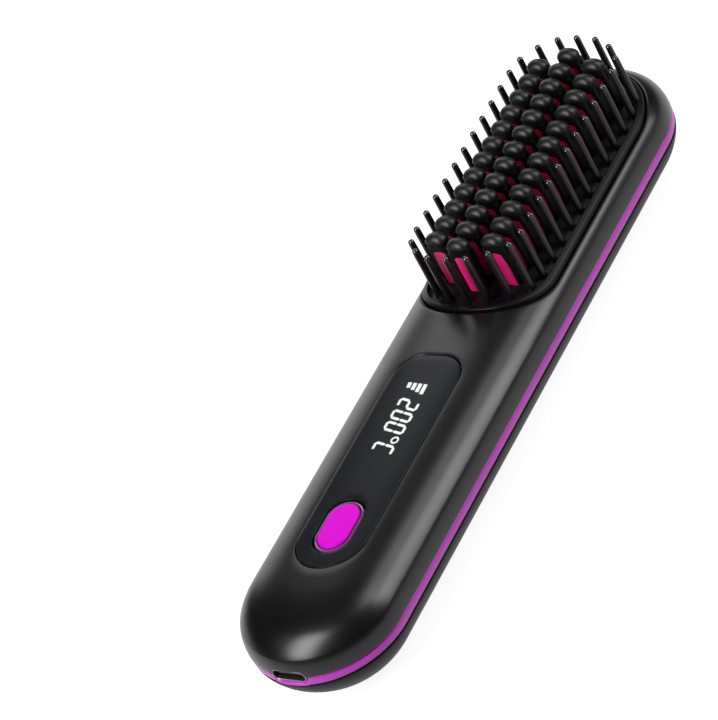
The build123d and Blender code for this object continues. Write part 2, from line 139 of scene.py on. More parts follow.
def match(loop, outline, follow=0.5):
    """Fractions along outline that face the points of loop: part nearest point, part even spread."""
    ring = np.vstack([outline, outline[:1]])
    run = np.r_[0, np.cumsum(np.hypot(*np.diff(ring, axis=0).T))][:-1]
    run = run / (run[-1] + np.hypot(*(ring[-1] - ring[-2])))
    near = np.hypot(*(loop[:, None] - outline[None]).transpose(2, 0, 1)).argmin(1)
    u_near = np.unwrap(run[near] * 2 * math.pi) / (2 * math.pi)
    step = np.hypot(*np.diff(np.vstack([loop, loop[:1]]), axis=0).T)
    u_even = np.r_[0, np.cumsum(step)[:-1]] / step.sum()
    u_even += (u_near - u_even).mean()
    return follow * u_near + (1 - follow) * u_even


def reach(angle, a, b, r):
    """Distance from the centre of a rounded rectangle (half sides a, b, corners r) to its edge, in
    the directions angle, by halving the interval on its signed distance."""
    c, s = np.abs(np.cos(angle)), np.abs(np.sin(angle))
    lo, hi = np.zeros_like(angle), np.full_like(angle, a + b)
    for _ in range(30):
        m = (lo + hi) / 2
        qx, qy = m * c - (a - r), m * s - (b - r)
        out = np.hypot(np.maximum(qx, 0), np.maximum(qy, 0)) + np.minimum(np.maximum(qx, qy), 0) - r
        lo, hi = np.where(out < 0, m, lo), np.where(out < 0, hi, m)
    return lo


# ---- building a mesh from point grids ----
def with_z(xy, z):
    """Plan points (..., 2) and heights as points (..., 3)."""
    return np.concatenate([xy, np.broadcast_to(np.asarray(z)[..., None], xy.shape[:-1] + (1,))], -1)


def to_row(p):
    """Millimetres from the seam as metres from the surface that the brush lies on."""
    return (p + (0, 0, SEAM_HEIGHT)) * 0.001


def piece(name, grids, material, body, nodes, sharp=40.0):
    """One closed mesh from point grids of rows by columns, whose last column meets the first.
    Rows or columns that fall on the same points are merged, so poles and seams close."""
    points, quads, base = [], [], 0
    for g in grids:
        rows, cols = g.shape[:2]
        i = base + np.arange(rows * cols).reshape(rows, cols)
        j = np.roll(i, -1, axis=1)
        quads.append(np.stack([i[:-1], j[:-1], j[1:], i[1:]], -1).reshape(-1, 4))
        points.append(g.reshape(-1, 3))
        base += rows * cols
    mesh = bpy.data.meshes.new(name)
    mesh.from_pydata(to_row(np.vstack(points)).tolist(), [], np.vstack(quads).tolist())
    bm = bmesh.new()
    bm.from_mesh(mesh)
    bmesh.ops.remove_doubles(bm, verts=bm.verts, dist=2e-6)
    bmesh.ops.dissolve_degenerate(bm, edges=bm.edges, dist=1e-7)
    bmesh.ops.recalc_face_normals(bm, faces=bm.faces)
    bm.to_mesh(mesh)
    bm.free()
    mesh.shade_smooth()
    mesh.set_sharp_from_angle(angle=math.radians(sharp))
    mesh.materials.append(material)
    obj = bpy.data.objects.new(name, mesh)
    bpy.context.scene.collection.objects.link(obj)
    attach(obj, body)
    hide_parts(*nodes)


def arc(n, start=0.0, end=90.0):
    """Cosine and sine of n angles between start and end degrees, as columns."""
    a = np.radians(np.linspace(start, end, n))[:, None]
    return np.cos(a), np.sin(a)


# ---- finishes ----
def new_material(name, colour, roughness, metallic=0.0, **sockets):
    """A Principled material with its plain values set on the shader; returns it with its parts."""
    m = bpy.data.materials.new(name)
    m.use_nodes = True
    tree = m.node_tree
    shader = tree.nodes["Principled BSDF"]
    shader.inputs["Base Color"].default_value = (*colour, 1)
    shader.inputs["Roughness"].default_value = roughness
    shader.inputs["Metallic"].default_value = metallic
    for key, value in sockets.items():
        shader.inputs[key.replace("_", " ")].default_value = value
    m.diffuse_color = (*colour, 1)
    return m, tree, shader


def node(tree, kind, inputs=None, **settings):
    """Adds a shader node. An input that is given a socket is linked to it, others get the value."""
    n = tree.nodes.new(kind)
    for key, value in settings.items():
        setattr(n, key, value)
    for key, value in (inputs or {}).items():
        if isinstance(value, bpy.types.NodeSocket):
            tree.links.new(value, n.inputs[key])
        else:
            n.inputs[key].default_value = value
    return n


def noise(tree, scale, detail=2.0, stretch=(1, 1, 1)):
    """Noise on object coordinates; scale counts features per metre."""
    place = node(tree, "ShaderNodeTexCoord")
    drawn = node(tree, "ShaderNodeMapping", {"Vector": place.outputs["Object"], "Scale": stretch})
    return node(tree, "ShaderNodeTexNoise", {
        "Vector": drawn.outputs["Vector"], "Scale": scale, "Detail": detail}).outputs["Fac"]


def spread(tree, fac, low, high, lo=0.3, hi=0.7):
    """Maps a noise value to the range low..high."""
    return node(tree, "ShaderNodeMapRange", {
        "Value": fac, "From Min": lo, "From Max": hi, "To Min": low, "To Max": high}).outputs["Result"]


def tint(tree, fac, one, two):
    """Blends two colours by fac."""
    ramp = node(tree, "ShaderNodeMix", data_type="RGBA")
    tree.links.new(fac, ramp.inputs["Factor"])
    ramp.inputs["A"].default_value = (*one, 1)
    ramp.inputs["B"].default_value = (*two, 1)
    return ramp.outputs["Result"]


def moulded(name, colour, roughness, grain=2600.0, bump=0.04, vary=0.05, lift=1.25, **sockets):
    """Moulded plastic: fine spark-eroded grain in the bump, and slow drift of gloss and shade."""
    m, tree, shader = new_material(name, colour, roughness, **sockets)
    slow = noise(tree, 60.0, 3.0)
    tree.links.new(spread(tree, slow, roughness - vary, roughness + vary), shader.inputs["Roughness"])
    shade = tint(tree, spread(tree, slow, 0.0, 1.0), colour, tuple(min(1.0, c * lift) for c in colour))
    tree.links.new(shade, shader.inputs["Base Color"])
    fine = node(tree, "ShaderNodeBump", {
        "Height": noise(tree, grain, 3.0), "Strength": bump, "Distance": 0.0001})
    tree.links.new(fine.outputs["Normal"], shader.inputs["Normal"])
    return m


def rubbed(name, colour, above, beside, **sockets):
    """Moulded plastic rubbed glossy where it faces up and matt on its upright sides; above and
    beside are roughness and specular level."""
    m = moulded(name, colour, above[0], bump=0.03, **sockets)
    tree = m.node_tree
    shader = tree.nodes["Principled BSDF"]
    place = node(tree, "ShaderNodeTexCoord")
    apart = node(tree, "ShaderNodeSeparateXYZ", {"Vector": place.outputs["Normal"]})
    up = spread(tree, apart.outputs["Z"], 0.0, 1.0, 0.03, 0.3)
    patchy = spread(tree, noise(tree, 300.0), 0.9, 1.1)
    worn = node(tree, "ShaderNodeMath", {0: up, 1: patchy}, operation="MULTIPLY")
    for socket, high, low in zip(("Roughness", "Specular IOR Level"), above, beside):
        tree.links.new(spread(tree, worn.outputs[0], low, high, 0.0, 1.0), shader.inputs[socket])
    return m


def brushed(name, colour, roughness, along=(1, 30, 30), **sockets):
    """Drawn or rolled metal: fine lines along one axis in gloss and bump."""
    m, tree, shader = new_material(name, colour, roughness, metallic=1.0, **sockets)
    lines = noise(tree, 300.0, 4.0, along)
    tree.links.new(spread(tree, lines, roughness * 0.7, roughness * 1.3), shader.inputs["Roughness"])
    fine = node(tree, "ShaderNodeBump", {"Height": lines, "Strength": 0.08, "Distance": 0.00005})
    tree.links.new(fine.outputs["Normal"], shader.inputs["Normal"])
    return m


SHELL = moulded("shell_satin_black", (0.0022, 0.0022, 0.0025), 0.31, bump=0.015, vary=0.02,
                Specular_IOR_Level=0.36)
BACK = moulded("shell_back_black", (0.0035, 0.0035, 0.0038), 0.46, bump=0.015, vary=0.02,
               Specular_IOR_Level=0.1)
TRIM = moulded("trim_magenta", (0.42, 0.02, 0.41), 0.36, bump=0.02, vary=0.01, lift=1.03)
PLATE = moulded("comb_plate_black", (0.0025, 0.0025, 0.003), 0.36, grain=1800.0, bump=0.06,
                Specular_IOR_Level=0.14)
PIN = rubbed("pin_black", (0.004, 0.004, 0.0045), (0.08, 0.9), (0.34, 0.22))
CAP = rubbed("cap_black", (0.003, 0.003, 0.0035), (0.42, 0.36), (0.6, 0.1))
BLADE = moulded("blade_pink", (0.57, 0.006, 0.135), 0.48, bump=0.05, lift=1.1)
LENS = moulded("panel_slate", (0.0065, 0.0068, 0.0085), 0.26, bump=0.0, vary=0.01,
               Specular_IOR_Level=0.08)
DIGIT = moulded("digit_white", (0.6, 0.61, 0.62), 0.45, bump=0.0, lift=1.05, Specular_IOR_Level=0.2)
KEY = moulded("key_magenta", (0.43, 0.0, 0.39), 0.45, bump=0.02, lift=1.08, Specular_IOR_Level=0.08)
# The key ring's dark colour is painted shade of the deep gap round the key; its gloss gives the
# highlight on its rounded edge.
RING = moulded("ring_clear", (0.10, 0.05, 0.10), 0.12, bump=0.0, vary=0.01, lift=1.05,
               Specular_IOR_Level=1.0)
PORT = brushed("port_steel", (0.22, 0.22, 0.23), 0.34, along=(30, 1, 30))


# ---- once round the body ----
def port_samples():
    """Half widths at which the port's rounded outline is sampled."""
    flat, r = (PORT_W - PORT_H) / 2, PORT_H / 2 + PORT_GAP
    round_end = np.sin(np.radians([12, 25, 38, 50, 62, 73, 82, 90]))
    return np.r_[np.linspace(0, flat, 5)[1:], flat + r * round_end]


def port_edge(x, upper):
    """Height of the port opening's upper or lower edge above x."""
    flat, r = (PORT_W - PORT_H) / 2, PORT_H / 2 + PORT_GAP
    rise = np.sqrt(np.maximum(r * r - np.maximum(np.abs(x) - flat, 0) ** 2, 0))
    return PORT_Z + rise if upper else PORT_Z - rise


def perimeter():
    """Outward directions (n, 2) and spine heights y (n,) anticlockwise from the right side at
    y = 0. Columns crowd together across the port."""
    side = np.linspace(0, END_Y, 37)
    top = np.radians(np.linspace(0, 180, 49))[1:-1]
    px = np.degrees(np.arcsin(port_samples() / BODY_R))
    rest = np.linspace(px[-1], 90, 21)[1:-1]
    bottom = np.radians(np.r_[-rest[::-1], -px[::-1], 0.0, px, rest])
    one = np.ones(len(side))
    n = np.vstack([
        np.stack([one, 0 * one], -1), np.stack([np.cos(top), np.sin(top)], -1),
        np.stack([-one, 0 * one], -1), np.stack([-one, 0 * one], -1)[1:],
        np.stack([np.sin(bottom), -np.cos(bottom)], -1), np.stack([one, 0 * one], -1)[:-1]])
    y = np.r_[side, np.full(len(top), END_Y), side[::-1], -side[1:],
              np.full(len(bottom), -END_Y), -side[:0:-1]]
    return n, y


AROUND, SPINE = perimeter()
PORT_X = AROUND[:, 0] * BODY_R
AT_PORT = (SPINE == -END_Y) & (np.abs(PORT_X) < PORT_W / 2 + PORT_GAP - 0.001)


def band(d, z):
    """Rows of points at the distances d from the spine and heights z, all round the body."""
    d = np.broadcast_to(d, np.broadcast_shapes(np.shape(d), (1, len(SPINE))))
    z = np.broadcast_to(z, d.shape)
    xy = d[..., None] * AROUND
    return np.concatenate([xy[..., :1], xy[..., 1:] + SPINE[:, None], z[..., None]], -1)


def skin_rows(steps, r, h, q, d_from, z_to):
    """Distances and heights down a superellipse flank, from the distance d_from to the height z_to,
    in even steps of its angle."""
    a0 = math.acos((d_from / r) ** (q / 2))
    a1 = np.arcsin((np.abs(z_to) / h) ** (q / 2))
    a = a0 + (a1 - a0) * np.linspace(0, 1, steps)[:, None]
    return r * np.cos(a) ** (2 / q), h * np.sin(a) ** (2 / q)


INNER_D = 18.7        # inside this distance the front skin is patched round its two openings
UNDER_D = 17.2        # the same for its underside
EDGE = 0.12           # rounding of the seam edges


def front_shell():
    """Upper shell. Its flank is a band of superellipse rows that ends on the seam, or on the upper
    edge of the port. Inside INNER_D two ring-shaped patches run from the band and a line across
    y = 0 to the comb opening and to the panel pocket; their points lie on the dome. From each
    opening the rows turn over a rounded edge, down the wall and back under the skin."""
    foot = np.where(AT_PORT, port_edge(PORT_X, True), TRIM_HI)[None]
    d, z = skin_rows(16, BODY_R, FRONT_H, FRONT_Q, INNER_D, foot + EDGE)
    c, s = arc(4)
    turn = band(d[-1:] - EDGE * (1 - c), foot + EDGE * (1 - s))
    di, zi = skin_rows(6, BODY_R - WALL, FRONT_H - WALL, FRONT_Q, UNDER_D, foot + 0.05)
    flank = np.vstack([band(d, z), turn[1:], band(BODY_R - WALL, foot), band(di[::-1], zi[::-1])])
    grids = [flank]

    rim_out, rim_in = flank[0], flank[-1]
    cross = np.linspace(-INNER_D, INNER_D, 33)[1:-1]
    for upper in (True, False):
        on = SPINE >= 0 if upper else SPINE <= 0
        order = np.flatnonzero(on)
        if not upper:                       # start on the left side so that the run is unbroken
            order = np.r_[order[order > 40], order[order <= 40]]
        line = cross if upper else cross[::-1]
        bar = np.stack([line, 0 * line], -1)
        loop_out = np.vstack([rim_out[order], with_z(bar, dome(*bar.T))])
        bar = bar * (UNDER_D / INNER_D)
        loop_in = np.vstack([rim_in[order], with_z(bar, dome(*bar.T, -WALL))])
        grids.append(opening(loop_out, loop_in, comb_side if upper else panel_side))
    return grids


def comb_side(plan):
    """Rows from the comb opening's rolled edge down its wall, over the ledge and under it."""
    roll = 1.2              # radius of the rolled edge
    u = match(plan, comb_outline(roll))
    c, s = arc(9)
    rows = []
    for g, drop in zip(COMB_GAP + roll * (1 - s[:, 0]), roll * (1 - c[:, 0])):
        xy = comb_ring(g, u)
        rows.append(with_z(xy, dome(*xy.T) - drop))
    wall, lip = comb_ring(COMB_GAP, u), comb_ring(-LEDGE, u)
    rows.append(with_z(wall, dome(*wall.T, -LEDGE_LOW)))
    rows.append(with_z(lip, dome(*lip.T, -LEDGE_LOW)))
    rows.append(with_z(lip, dome(*lip.T, -LEDGE_LOW) - LEDGE_T))
    return np.array(rows)


def panel_side(plan):
    """Rows from the pocket's edge down its wall, across its floor, through the key hole and back."""
    u = match(plan, panel_outline(PANEL_GAP))
    c, s = arc(5)
    edge = 0.25
    rows = []
    for g, drop in zip(PANEL_GAP + edge * (1 - s[:, 0]), edge * (1 - c[:, 0])):
        xy = walk(panel_outline(g), u)
        rows.append(with_z(xy, dome(*xy.T) - drop))
    wall = rows[-1][:, :2]
    rows.append(with_z(wall, PANEL_FLOOR))
    gap, rib = 0.2, 1.5         # round the key, and of the wall that the pocket has below
    hole_line = stadium(KEY_L / 2 + gap, KEY_W / 2 + gap, KEY_Y)
    hole = walk(hole_line, match(wall, hole_line))
    rows += [with_z(hole, PANEL_FLOOR), with_z(hole, PANEL_UNDER)]
    rows.append(with_z(walk(panel_outline(rib), u), PANEL_UNDER))
    return np.array(rows)


def opening(loop_out, loop_in, profile):
    """Patch from loop_out over the dome to the opening, through it by profile, and to loop_in."""
    rows = profile(loop_out[:, :2])
    t = np.linspace(0, 1, 10)[:-1, None, None]
    xy = loop_out[None, :, :2] * (1 - t) + rows[0][None, :, :2] * t
    top = with_z(xy, dome(xy[..., 0], xy[..., 1]))
    top[0] = loop_out
    back = rows[-1][None] * (1 - t[1:]) + loop_in[None] * t[1:]
    return np.vstack([top, rows, back, loop_in[None]])


def back_skin(d, grow=0.0):
    """Depth of the back at distance d: h (1 - (d / r)^q)^(1/q), softly levelled where it rests."""
    h = (BACK_H + grow) * (1 - np.minimum(d / (BODY_R + grow), 1) ** BACK_Q) ** (1 / BACK_Q)
    level, soft = SEAM_HEIGHT + grow, 0.25
    blend = np.maximum(soft - np.abs(h - level), 0) / soft
    return -(np.minimum(h, level) - blend ** 2 * soft / 4)


def back_shell():
    """Lower shell: rows of growing distance from the spine, the outer skin joined to the inner one
    over a rounded seam edge."""
    clear = 0.15                # between the inner skin and the front shell's wall
    reach_out = BODY_R * (1 - (abs(TRIM_LO - EDGE) / BACK_H) ** BACK_Q) ** (1 / BACK_Q)
    lean = np.sin(np.radians(np.linspace(0, 90, 34)))
    d = reach_out * lean
    outer = band(d[:, None], back_skin(d)[:, None])
    c, s = arc(4)
    turn = band(reach_out - EDGE * (1 - c), TRIM_LO - EDGE * (1 - s))
    inner_r = BODY_R - WALL - clear
    di = inner_r * lean[::3][::-1]
    inner = band(di[:, None], np.minimum(back_skin(di, -WALL), TRIM_LO)[:, None])
    return [np.vstack([outer, turn[1:], inner])]


def trim_ring():
    """Coloured ring: a bulging strip carried round the body, lowered below the port. Its section
    follows |d|^q + |z|^q = 1 over half a turn."""
    top = np.where(AT_PORT, np.minimum(port_edge(PORT_X, False), TRIM_HI), TRIM_HI)[None]
    bulge, q = 0.9, 2.4
    a = np.radians(np.linspace(-90, 90, 17))[:, None]
    out = np.cos(a) ** (2 / q)
    up = np.sign(a) * np.abs(np.sin(a)) ** (2 / q)
    mid, half = (top + TRIM_LO) / 2, (top - TRIM_LO) / 2
    rows = [band(TRIM_IN, TRIM_LO), band(TRIM_R - bulge + bulge * out, mid + half * up),
            band(TRIM_IN, top), band(TRIM_IN, TRIM_LO)]
    return [np.vstack(rows)]


# ---- brush field ----
def tooth_places():
    """Thirteen teeth in the middle and twelve at each side, half a pitch apart."""
    mid = [(0.0, COMB_Y + PITCH * (k - 6)) for k in range(13)]
    sides = [(s * COL_X, COMB_Y + PITCH * (k - 5.5)) for s in (-1, 1) for k in range(12)]
    return np.array(mid + sides)


def pin_places():
    """Eleven pins along each side, and the arcs of PIN_ARC at both ends."""
    side = [(s * PIN_X, COMB_Y + PITCH * (k - 5)) for s in (-1, 1) for k in range(11)]
    ends = [(sx * x, COMB_Y + sy * dy) for x, dy in PIN_ARC
            for sx in ((1, -1) if x else (1,)) for sy in (-1, 1)]
    return np.array(side + ends)


def plate_floor(xy):
    """Top of the sunken field, FLOOR_LOW below the skin."""
    return dome(xy[..., 0], xy[..., 1], -FLOOR_LOW)


def plate_under(xy):
    """Underside of the plate, FIELD_LOW below the skin."""
    return dome(xy[..., 0], xy[..., 1], -FIELD_LOW)


def field_border():
    """Right upper quarter of the tooth field's stepped border, on the corners of its cells."""
    part = PITCH / 8
    side = np.stack([np.full(48, FIELD_X), np.arange(48) * part], -1)
    shelf = np.stack([np.linspace(FIELD_X, COL_X / 2, 9)[:-1], np.full(8, FIELD_Y)], -1)
    step = np.stack([np.full(4, COL_X / 2), FIELD_Y + np.arange(4) * part], -1)
    top = np.stack([np.linspace(COL_X / 2, 0, 5), np.full(5, FIELD_MID_Y)], -1)
    return np.vstack([side, shelf, step, top])


def comb_plate():
    """Sunken field with a raised rim. Each tooth sits in a cell whose rows shrink from the cell's
    rectangle to the rounded slot, turn over its edge and come back below; a border of rows joins
    the cells to the rim, goes over it and comes back below."""
    k, one = np.linspace(-1, 1, 9)[:-1], np.ones(8)
    square = [np.stack(side, -1) for side in ((one, k), (-k, one), (-one, -k), (k, -one))]
    cell = np.vstack(square) * (COL_X / 2, PITCH / 2)
    a = np.arctan2(cell[:, 1], cell[:, 0])
    ray = np.stack([np.cos(a), np.sin(a)], -1)

    def slot(grow):
        return ray * reach(a, SLOT_X + grow, SLOT_Y + grow, SLOT_CORNER + grow)[:, None]

    edge = 0.22
    c, s = (v[:, 0].tolist() for v in arc(4))
    rows = [(cell, 0.0), ((cell + slot(edge)) / 2, 0.0)]
    rows += [(slot(edge * (1 - q)), edge * (1 - p)) for p, q in zip(c, s)]
    under = [slot(0.0), (cell + slot(0.0)) / 2, cell]
    grids = []
    for x, y in tooth_places():
        top = [with_z(r + (x, y), plate_floor(r + (x, y)) - drop) for r, drop in rows]
        low = [with_z(r + (x, y), plate_under(r + (x, y))) for r in under]
        grids.append(np.array(top + low))

    quarter = field_border()
    upper = np.vstack([quarter, quarter[-2::-1] * (-1, 1)])
    inner = np.vstack([upper, -upper[1:-1]]) + (0, COMB_Y)
    run = np.r_[0, np.cumsum(np.hypot(*np.diff(quarter, axis=0).T))]
    u = run / run[-1] / 4
    u = np.r_[u, 0.5 - u[-2::-1]]
    u = np.r_[u, 0.5 + u[1:-1]]

    def ring(grow, level, up=0.0):
        xy = comb_ring(grow, u)
        return with_z(xy, dome(*xy.T, level) + up)

    foot, crest, brow = 0.3, 0.4, 0.3
    c, s = (v[:, 0] for v in arc(6))
    near = comb_ring(-RIM_W - foot, u)
    rows = []
    for t in np.linspace(0, 1, 8)[:-1]:
        xy = inner * (1 - t) + near * t
        rows.append(with_z(xy, plate_floor(xy)))
    rows += [ring(-RIM_W - foot * (1 - q), -FLOOR_LOW, foot * (1 - p)) for p, q in zip(c, s)]
    rows += [ring(-RIM_W + crest * (1 - p), PLATE_PROUD, -crest * (1 - q)) for p, q in zip(c, s)]
    rows += [ring(-brow * (1 - q), PLATE_PROUD, -brow * (1 - p)) for p, q in zip(c, s)]
    rows += [ring(0.0, -PLATE_T), ring(-LEDGE, -PLATE_T), ring(-LEDGE, -FIELD_LOW)]
    low = comb_ring(-LEDGE, u)
    for t in (0.5, 1.0):
        xy = low * (1 - t) + inner * t
        rows.append(with_z(xy, plate_under(xy)))
    grids.append(np.array(rows))
    return grids


def posts(places, profile):
    """The same upright shape at many places; profile gives its rows for one place."""
    return [profile(x, y) for x, y in places]


def lift(x):
    """How much taller than the standard tooth the one at x is."""
    return SIDE_LIFT if x else MID_LIFT


def blade(x, y, n=32):
    """Heated blade: a rounded rectangle carried straight up, its top edge rounded over."""
    a = np.linspace(0, 2 * math.pi, n, endpoint=False)
    ray = np.stack([np.cos(a), np.sin(a)], -1)
    edge = 0.3
    c, s = (v[1:, 0].tolist() for v in arc(4))

    def row(inset, z):
        r = np.maximum(reach(a, BLADE_X - inset, BLADE_Y - inset, max(BLADE_CORNER - inset, 0.05)), 0)
        return with_z(ray * r[:, None] + (x, y), z)

    centre = np.broadcast_to((x, y), (n, 2))
    top = BLADE_TOP + lift(x)
    rows = [with_z(centre, BLADE_FOOT)]
    rows += [row(0, z) for z in (BLADE_FOOT, 11.5, 16.0, top - edge)]
    rows += [row(edge * (1 - p), top - edge * (1 - q)) for p, q in zip(c, s)]
    rows.append(with_z(centre, top))
    return np.array(rows)


def cap(x, y, n=48):
    """Cool tip: a low dome whose plan turns from an ellipse into a rounded rectangle on its way
    down, then short walls. Their foot arches over the blade's faces; the pocket has the blade's
    outline."""
    a = np.linspace(0, 2 * math.pi, n, endpoint=False)
    egg = np.stack([CAP_RX * np.cos(a), CAP_RY * np.sin(a)], -1)
    turn = np.arctan2(egg[:, 1], egg[:, 0])
    ray = np.stack([np.cos(turn), np.sin(turn)], -1)
    wide = np.hypot(*egg.T)
    hole = reach(turn, BLADE_X, BLADE_Y, BLADE_CORNER)
    wall = reach(turn, LEG_X, 1.8, 1.45)
    neck = reach(turn, LEG_X, 1.64, 1.35)
    flat, arch = 1.8, 2.0             # height of the dome, and rise of the arches in its foot
    middle = CAP_Z + CAP_RZ - flat + lift(x)

    def row(length, z):
        return with_z(ray * length[:, None] + (x, y), z)

    rows = []
    for p in np.radians(np.r_[0, 8, np.linspace(17, 90, 9)]):
        m = math.sin(p) ** 5
        rows.append(row((wide * (1 - m) + wall * m) * math.sin(p), middle + flat * math.cos(p)))
    across = np.minimum(np.abs(ray[:, 0] * hole) / BLADE_X, 1.0)
    foot = SKIRT_Z + 0.2 + lift(x) - arch * (1 - np.sqrt(1 - across ** 2))
    rows += [row(wall * 0.8 + neck * 0.2, middle - 0.5), row(wall * 0.4 + neck * 0.6, middle - 1.1)]
    rows += [row(neck, foot + 0.2), row(neck * 0.6 + hole * 0.4, foot), row(hole * 0.98, foot)]
    rows += [row(hole * 0.98, BLADE_TOP + lift(x)), row(0 * hole, BLADE_TOP + lift(x))]
    return np.array(rows)


def cap_legs(x, y, n=32):
    """The cap's legs on both sides of the blade: rounded strips from the dome into the slot, which
    narrow on their way down."""
    a = np.linspace(0, 2 * math.pi, n, endpoint=False)
    inside, rise = 1.2, 1.2           # where a leg's inner face is, and how far it enters the dome
    half, top = (LEG_X - inside) / 2, SKIRT_Z + lift(x) + rise
    grids = []
    for side in (1, -1):
        rows = []
        for k, w, z in ((0, LEG_Y, LEG_Z), (1, LEG_Y, LEG_Z), (1, LEG_Y, 15.0), (1, LEG_Y + 0.1, 17.0),
                        (1, LEG_Y + 0.25, 18.6), (1, 1.55, top), (0, 1.55, top)):
            line = np.stack([np.cos(a), np.sin(a)], -1) * reach(a, half, w, 0.5)[:, None]
            rows.append(with_z(line * k + (x + side * (LEG_X - half), y), z))
        grids.append(np.array(rows))
    return grids


def pin(x, y, n=14):
    """Bristle pin: a slim taper on a small root flare, closed by a ball tip."""
    root = float(dome(x, y, -FLOOR_LOW))
    tall = float(dome(x, y, PLATE_PROUD)) + PIN_LEN - PIN_TIP_R - root
    z = np.r_[-0.7, -0.4, 0.0, 0.15, 0.35, 0.7, 1.4, np.linspace(3, tall, 4)]
    r = PIN_R + (PIN_TIP_R - PIN_R) * z / tall + 0.2 * np.exp(-np.maximum(z, 0) / 0.3)
    tip = np.radians(np.linspace(15, 90, 6))
    z = np.r_[z[0], z, tall + PIN_TIP_R * np.sin(tip)]
    r = np.r_[0.0, r, PIN_TIP_R * np.cos(tip)]
    a = np.linspace(0, 2 * math.pi, n, endpoint=False)
    ring = np.stack([np.cos(a), np.sin(a)], -1)
    return with_z(ring * r[:, None, None] + (x, y), (root + z)[:, None] * np.ones(n))


# ---- panel, digits, key ----
def panel_lens():
    """Flush lens: rows from its outline to the key opening, both edges rounded over, flat below."""
    n = 176
    u = np.linspace(0, 1, n, endpoint=False)
    u_hole = match(walk(panel_outline(0.0), u), stadium(*KEY_HOLE, KEY_Y), 0.6)
    edge = 0.22

    def ring(line_u, inset, drop, is_hole):
        half_l, half_w = KEY_HOLE
        line = stadium(half_l + inset, half_w + inset, KEY_Y) if is_hole else panel_outline(-inset)
        xy = walk(line, line_u)
        return with_z(xy, dome(*xy.T) - drop)

    c, s = (v[:, 0].tolist() for v in arc(5))
    rows = [ring(u, edge * (1 - p), edge * (1 - q), False) for p, q in zip(c, s)]
    far, near = rows[-1][:, :2], ring(u_hole, edge, 0.0, True)[:, :2]
    for t in np.linspace(0, 1, 26)[1:-1]:
        xy = far * (1 - t) + near * t
        rows.append(with_z(xy, dome(*xy.T)))
    rows += [ring(u_hole, edge * (1 - q), edge * (1 - p), True) for p, q in zip(c, s)]
    hole = rows[-1][:, :2]
    rows += [with_z(hole, PANEL_FLOOR), with_z(rows[0][:, :2], PANEL_FLOOR), rows[0]]
    return [np.array(rows)]


SEGMENTS = {"a": (-1, 1, 1, 1), "b": (1, 1, 1, 0), "c": (1, 0, 1, -1), "d": (-1, -1, 1, -1),
            "e": (-1, 0, -1, -1), "f": (-1, 1, -1, 0), "g": (-1, 0, 1, 0)}
FIGURES = (("abged", -22.2), ("abcdef", -25.7), ("abcdef", -29.15), ("adef", -35.3))
DIGIT_W, DIGIT_H, STROKE, SLANT = 2.15, 5.3, 0.68, 0.22
DEGREE_AT, DEGREE_R, DEGREE_HOLE = (1.8, -32.75), 1.05, 0.6


def flat_on_panel(outline, proud=0.012, deep=0.15):
    """Thin closed tile of the given plan outline, its top just proud of the lens."""
    mid = np.broadcast_to(outline.mean(0), outline.shape)
    top, mid_top = dome(*outline.T) + proud, dome(*mid.T) + proud
    return np.array([with_z(mid, mid_top), with_z(outline, top),
                     with_z(outline, top - deep), with_z(mid, mid_top - deep)])


def display_digits():
    """Seven-segment figures reading towards -Y with their tops to +X, a degree ring and bars."""
    grids = []
    for letters, y0 in FIGURES:
        for name in letters:
            ends = np.array(SEGMENTS[name], float).reshape(2, 2) * (DIGIT_W / 2, DIGIT_H / 2)
            p, q = (np.array([v, y0 - u - SLANT * v]) for u, v in ends)
            length = np.hypot(*(q - p))
            along = (q - p) / length
            across = np.array([-along[1], along[0]])
            a, b, h = 0.06, length - 0.06, STROKE / 2
            s = np.array([a, a + 0.8 * h, b - 0.8 * h, b, b - 0.8 * h, a + 0.8 * h])
            t = np.array([0, h, h, 0, -h, -h])
            grids.append(flat_on_panel(p + s[:, None] * along + t[:, None] * across))
    a = np.linspace(0, 2 * math.pi, 28, endpoint=False)
    ray = np.stack([np.cos(a), np.sin(a)], -1)
    wide, slim = ray * DEGREE_R + DEGREE_AT, ray * DEGREE_HOLE + DEGREE_AT
    turns = ((wide, -0.14), (wide, 0.012), (slim, 0.012), (slim, -0.14), (wide, -0.14))
    grids.append(np.array([with_z(xy, dome(*xy.T) + up) for xy, up in turns]))
    for k in range(4):
        x, y, tall = -2.7 + 1.45 * k, -15.6 - 0.12 * k, 1.6 + 0.45 * k
        grids.append(flat_on_panel(np.array([
            (x - 0.5, y), (x - 0.38, y - tall), (x + 0.62, y - 0.1 - tall), (x + 0.5, y - 0.1)])))
    return grids


def stack(y, levels, n=96):
    """Upright stadium solid from (half length, half width, height) levels, closed at both ends."""
    u = np.linspace(0, 1, n, endpoint=False)
    rows = [with_z(walk(stadium(l, w, y), u), np.full(n, z)) for l, w, z in levels]
    first, last = (with_z(np.broadcast_to((0.0, y), (n, 2)), np.full(n, levels[k][2])) for k in (0, -1))
    return np.vstack([first[None], np.array(rows), last[None]])


def button():
    """Push key: stem, flange, straight sides, a rounded edge and a faintly crowned face."""
    e, l, w = 0.35, KEY_L / 2, KEY_W / 2
    under, foot, flange, crown = 7.8, 8.4, 0.75, 0.06
    c, s = (v[:, 0] for v in arc(6))
    levels = [(l + flange, w + flange, under), (l + flange, w + flange, foot)]
    levels += [(l, w, foot), (l, w, 10.5)]
    levels += [(l - e * (1 - p), w - e * (1 - p), KEY_TOP - crown - e * (1 - q)) for p, q in zip(c, s)]
    for k in (0.4, 1.0, 1.7, 2.4):
        levels.append((l - e - k, w - e - k, KEY_TOP - crown * (1 - k / 2.4) ** 2))
    stem = stack(KEY_Y, [(1.06, 1.05, 7.45), (1.06, 1.05, under)], 32)
    return [stack(KEY_Y, levels), stem]


